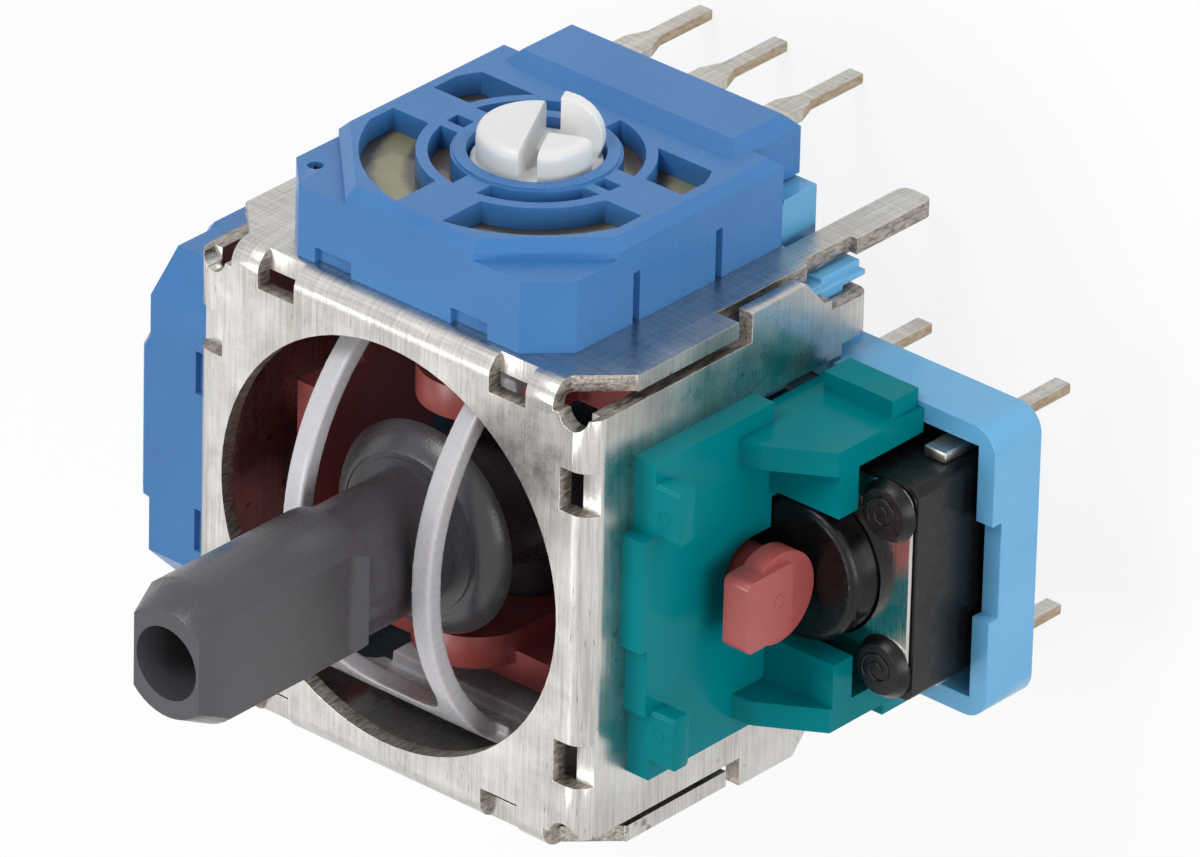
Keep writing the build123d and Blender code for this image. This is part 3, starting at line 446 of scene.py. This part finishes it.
def lobesOfRotor():
    s = rotorSettings
    wall, axis = s["wall"], s["pivot"]
    bottom = wall + s["floor"] - s["sink"]
    low, high = wall + s["floor"] - s["root"], wall + s["top"]
    cap = addCylinder(s["radius"], high - low, (0, (low + high) / 2, axis), alongY)
    roundEdges(cap, s["round"], s["segments"], s["sharp"])
    cutBox(cap, (-far, -far, -far), (far, bottom, far))
    # the slot between the lobes, wider behind the pivot, and the place of the fin beside it
    cutBox(cap, (s["slotLeft"], -far, -far), (s["slotBack"], far, axis))
    cutBox(cap, (s["slotLeft"], -far, axis + s["slotStep"]), (s["slotFront"], far, far))
    cutBox(cap, (s["crossLeft"], -far, -far), (far, far, axis + s["crossFront"]))
    fin = addCylinder(s["finRadius"], s["finFront"] - s["finBack"],
                      (s["slotBack"], wall + s["finHeight"], axis + (s["finFront"] + s["finBack"]) / 2))
    cutBox(fin, (-far, -far, -far), (s["slotBack"], far, far))
    cutBox(fin, (-far, -far, -far), (far, bottom, far))
    joinInto(cap, fin)
    middle = Vector((0, 0, axis)) * mm
    turn = Matrix.Rotation(math.radians(s["turn"]), 4, "Y")
    cap.data.transform(Matrix.Translation(middle) @ turn @ Matrix.Translation(-middle))
    return cap


split = rotorSettings["wall"] + rotorSettings["floor"]
rotors = {
    # what the lobes take the place of, and the turn about Z from the +Y side
    "pot_y_rotor": dict(low=(-far, split, -far), high=(far, far, far), quarter=0),
    "pot_x_rotor": dict(low=(-far, -far, -far), high=(-split, far, far), quarter=90),
}
for name, side in rotors.items():
    hub, lobes = mergedCopy(name), lobesOfRotor()
    lobes.data.transform(Matrix.Rotation(math.radians(side["quarter"]), 4, "Z"))
    cutBox(hub, side["low"], side["high"])
    joinInto(hub, lobes)
    softMould(name, hub, rotorSettings["voxel"], rotorSettings["rounds"])
print("arch and rotors drawn")


# Frame and terminals with their sheared edges

frameSettings = dict(edge=0.05, wall=6.1, top=10.38, bend=10.2, inner=5.95, flat=0.5, endOn=0.9)


def isPunched(centre, normal):
    wall, bend = frameSettings["wall"], frameSettings["bend"]
    flat, endOn = frameSettings["flat"], frameSettings["endOn"]
    if centre.z > frameSettings["top"] and max(abs(centre.x), abs(centre.y)) < frameSettings["inner"]:
        return abs(normal.z) < flat
    if abs(centre.x) > wall and abs(centre.x) > abs(centre.y):
        return abs(normal.y) > endOn or (abs(normal.x) < flat and centre.z < bend)
    if abs(centre.y) > wall:
        return abs(normal.x) > endOn or (abs(normal.y) < flat and centre.z < bend)
    return False


dressCuts(softenEdges("frame_shell", frameSettings["edge"]), punchedEdge, isPunched)

terminalSettings = dict(
    edge=0.05, flat=0.5,
    # the axis across each strip
    thin={"switch_terminals": "y", "pot_y_terminals": "y", "pot_x_terminals": "x"},
)


def clippedAlong(thin):
    # below the seat plane, what doesn't look across the strip was clipped
    def isClipped(centre, normal):
        return abs(getattr(normal, thin)) < terminalSettings["flat"] and centre.z < 0
    return isClipped


for name, thin in terminalSettings["thin"].items():
    dressCuts(softenEdges(name, terminalSettings["edge"]), clippedEdge, clippedAlong(thin))
print("sheared edges dressed")


# Return spring: on the real part it shortens on its seat as the cup goes down; here it is a merged, smoothly
# shaded copy with a mesh of its own

springSettings = dict(seat=0.5, stroke=0.145, smooth=50)
spring = mergedCopy("return_spring")
bpy.ops.object.shade_smooth_by_angle(angle=math.radians(springSettings["smooth"]))
standFor(spring, "return_spring")
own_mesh(spring)


# Small marks of the moulds

markSettings = dict(sides=32, width=0.05, proud=0.02, facing=0.9, sink=1.2, edge=0.012, segments=2, sharp=40,
                    smooth=35)


def ejectorMark(name, centre, facing, radius, body, slot):
    # the low ring that an ejector pin leaves on a face; facing is the axis that the face looks along
    s = markSettings
    axis, turn = (Vector((1, 0, 0)), alongX) if facing == "X" else (Vector((0, 0, 1)), (0, 0, 0))
    mark = addCylinder(radius + s["width"], 2 * s["proud"], centre, turn, s["sides"])
    mark.name = name
    bpy.ops.object.mode_set(mode="EDIT")
    bpy.ops.mesh.select_mode(type="FACE")
    bpy.ops.mesh.select_all(action="DESELECT")
    mesh = bmesh.from_edit_mesh(mark.data)
    for face in mesh.faces:
        face.select = face.normal.dot(axis) > s["facing"]
    bmesh.update_edit_mesh(mark.data)
    bpy.ops.mesh.inset(thickness=s["width"] * mm)
    bpy.ops.mesh.extrude_region_move(TRANSFORM_OT_translate={"value": -axis * s["sink"] * s["proud"] * mm})
    bpy.ops.object.mode_set(mode="OBJECT")
    roundEdges(mark, s["edge"], s["segments"], s["sharp"])
    mark.data.materials.append(finishes[slot])
    bpy.ops.object.shade_smooth_by_angle(angle=math.radians(s["smooth"]))
    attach(mark, body)


swirlSettings = dict(offset=2.2, radius=0.5, sink=0.01, start=0.25, turns=1.6, wire=0.035, steps=28)


def spiralMark(name, x, y, z):
    # the swirl that a turning heading tool leaves on a melted stake head
    s = swirlSettings
    path = bpy.data.curves.new(name, "CURVE")
    path.dimensions = "3D"
    path.bevel_depth = s["wire"] * mm
    path.bevel_resolution = 2
    spline = path.splines.new("POLY")
    spline.points.add(s["steps"])
    for k, point in enumerate(spline.points):
        share = k / s["steps"]
        angle = share * s["turns"] * math.tau
        reach = s["radius"] * (s["start"] + (1 - s["start"]) * share)
        point.co = ((x + reach * math.cos(angle)) * mm, (y + reach * math.sin(angle)) * mm, z * mm, 1)
    swirl = bpy.data.objects.new(name, path)
    bpy.context.collection.objects.link(swirl)
    onlyActive(swirl)
    bpy.ops.object.convert(target="MESH")
    swirl = bpy.context.object
    swirl.data.materials.append(finishes["black_plastic"])
    bpy.ops.object.shade_smooth()
    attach(swirl, "root")


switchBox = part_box("switch_housing")
switchMiddle = (switchBox[0][0] + switchBox[1][0]) / 2 / mm
switchTop = switchBox[1][2] / mm
for k, (sx, sy) in enumerate([(1, 1), (1, -1), (-1, 1), (-1, -1)]):
    spiralMark(f"stake_swirl_{k}", switchMiddle + sx * swirlSettings["offset"], sy * swirlSettings["offset"],
               switchTop + swirlSettings["sink"])

lugMarks = dict(x=7.57, y=3.05, z=9.2, radius=0.13)
for k, side in enumerate((1, -1)):
    ejectorMark(f"lug_ring_mark_{k}", (lugMarks["x"], side * lugMarks["y"], lugMarks["z"]), "Z",
                lugMarks["radius"], "root", "teal_plastic")

tabMark = dict(y=0.07, z=6.3, radius=0.16)
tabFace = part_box("rocker")[1][0] / mm
ejectorMark("tab_ring_mark", (tabFace, tabMark["y"], tabMark["z"]), "X", tabMark["radius"],
            "rocker", "red_brown_plastic")
print("mould marks made")


# Floor, light and camera

def whiteRays(tree):
    # 1 for the rays that find the white background, 0 for those that carry light to the object
    path = addNode(tree, "ShaderNodeLightPath")
    seen = addNode(tree, "ShaderNodeMath", operation="MAXIMUM",
                   links={0: path.outputs["Is Camera Ray"], 1: path.outputs["Is Transmission Ray"]})
    return addNode(tree, "ShaderNodeMath", operation="MAXIMUM",
                   links={0: seen.outputs["Value"], 1: path.outputs["Is Glossy Ray"]}).outputs["Value"]


white = (1, 1, 1, 1)
floorSettings = dict(size=4.0, drop=0.02, card="#F4F4F4", glow=0.85)
floorHeight = cadBox[0][2] - floorSettings["drop"] * mm
deselectAll()
bpy.ops.mesh.primitive_plane_add(size=floorSettings["size"], location=(0, 0, floorHeight))
floor = bpy.context.object
floor.name = "floor"
# white card: part of it glows for the rays that see it, so that it meets the background and keeps the shadow
floorMaterial, tree, shader = newMaterial("whiteCard", Roughness=0.9)
shader.inputs["Base Color"].default_value = hexColour(floorSettings["card"])
share = addNode(tree, "ShaderNodeMath", operation="MULTIPLY", inputs={1: floorSettings["glow"]},
                links={0: whiteRays(tree)})
glow = addNode(tree, "ShaderNodeEmission", inputs={"Color": white, "Strength": 1.0})
blend = addNode(tree, "ShaderNodeMixShader",
                links={0: share.outputs["Value"], 1: shader.outputs["BSDF"], 2: glow.outputs["Emission"]})
output = next(n for n in tree.nodes if n.type == "OUTPUT_MATERIAL")
tree.links.new(blend.outputs["Shader"], output.inputs["Surface"])
floor.data.materials.append(floorMaterial)

skyStrength = 0.34
world = bpy.context.scene.world or bpy.data.worlds.new("studio")
bpy.context.scene.world = world
world.use_nodes = True
tree = world.node_tree
tree.nodes.clear()
sky = addNode(tree, "ShaderNodeBackground", inputs={"Color": white, "Strength": skyStrength})
backdrop = addNode(tree, "ShaderNodeBackground", inputs={"Color": white, "Strength": 1.0})
mixed = addNode(tree, "ShaderNodeMixShader",
                links={0: whiteRays(tree), 1: sky.outputs["Background"], 2: backdrop.outputs["Background"]})
addNode(tree, "ShaderNodeOutputWorld", links={"Surface": mixed.outputs["Shader"]})

aim = Vector((0, 0, 6)) * mm
lamps = {
    # place in mm, width and height in mm, power in watts
    "keyPanel": dict(place=(-60, 330, 260), size=(170, 170), power=0.7),
    "sidePanel": dict(place=(380, 60, 120), size=(220, 260), power=0.7),
    "frontPanel": dict(place=(-120, -60, 380), size=(160, 160), power=0.6),
}
for name, lamp in lamps.items():
    data = bpy.data.lights.new(name, "AREA")
    data.shape = "RECTANGLE"
    data.size, data.size_y = lamp["size"][0] * mm, lamp["size"][1] * mm
    data.energy = lamp["power"]
    panel = bpy.data.objects.new(name, data)
    panel.location = Vector(lamp["place"]) * mm
    panel.rotation_euler = (aim - panel.location).to_track_quat("-Z", "Y").to_euler()
    bpy.context.collection.objects.link(panel)

cameraSettings = dict(
    # place in mm, the directions right and down in the view, lens and sensor in mm, clipping in m
    place=(210.278, 177.839, 246.471),
    right=(0.748834, 0.021795, -0.662399),
    down=(0.334615, -0.875154, 0.349483),
    lens=439.975,
    sensor=36.0,
    clip=(0.01, 10),
)
right = Vector(cameraSettings["right"]).normalized()
up = -Vector(cameraSettings["down"]).normalized()
turned = Matrix((right, up, right.cross(up))).transposed().to_4x4()
camera = bpy.data.objects.new("camera", bpy.data.cameras.new("camera"))
camera.data.lens = cameraSettings["lens"]
camera.data.sensor_width = cameraSettings["sensor"]
camera.data.clip_start, camera.data.clip_end = cameraSettings["clip"]
camera.matrix_world = Matrix.Translation(Vector(cameraSettings["place"]) * mm) @ turned
bpy.context.collection.objects.link(camera)
bpy.context.scene.camera = camera
bpy.context.scene.view_settings.view_transform = "Standard"
print("stage set")
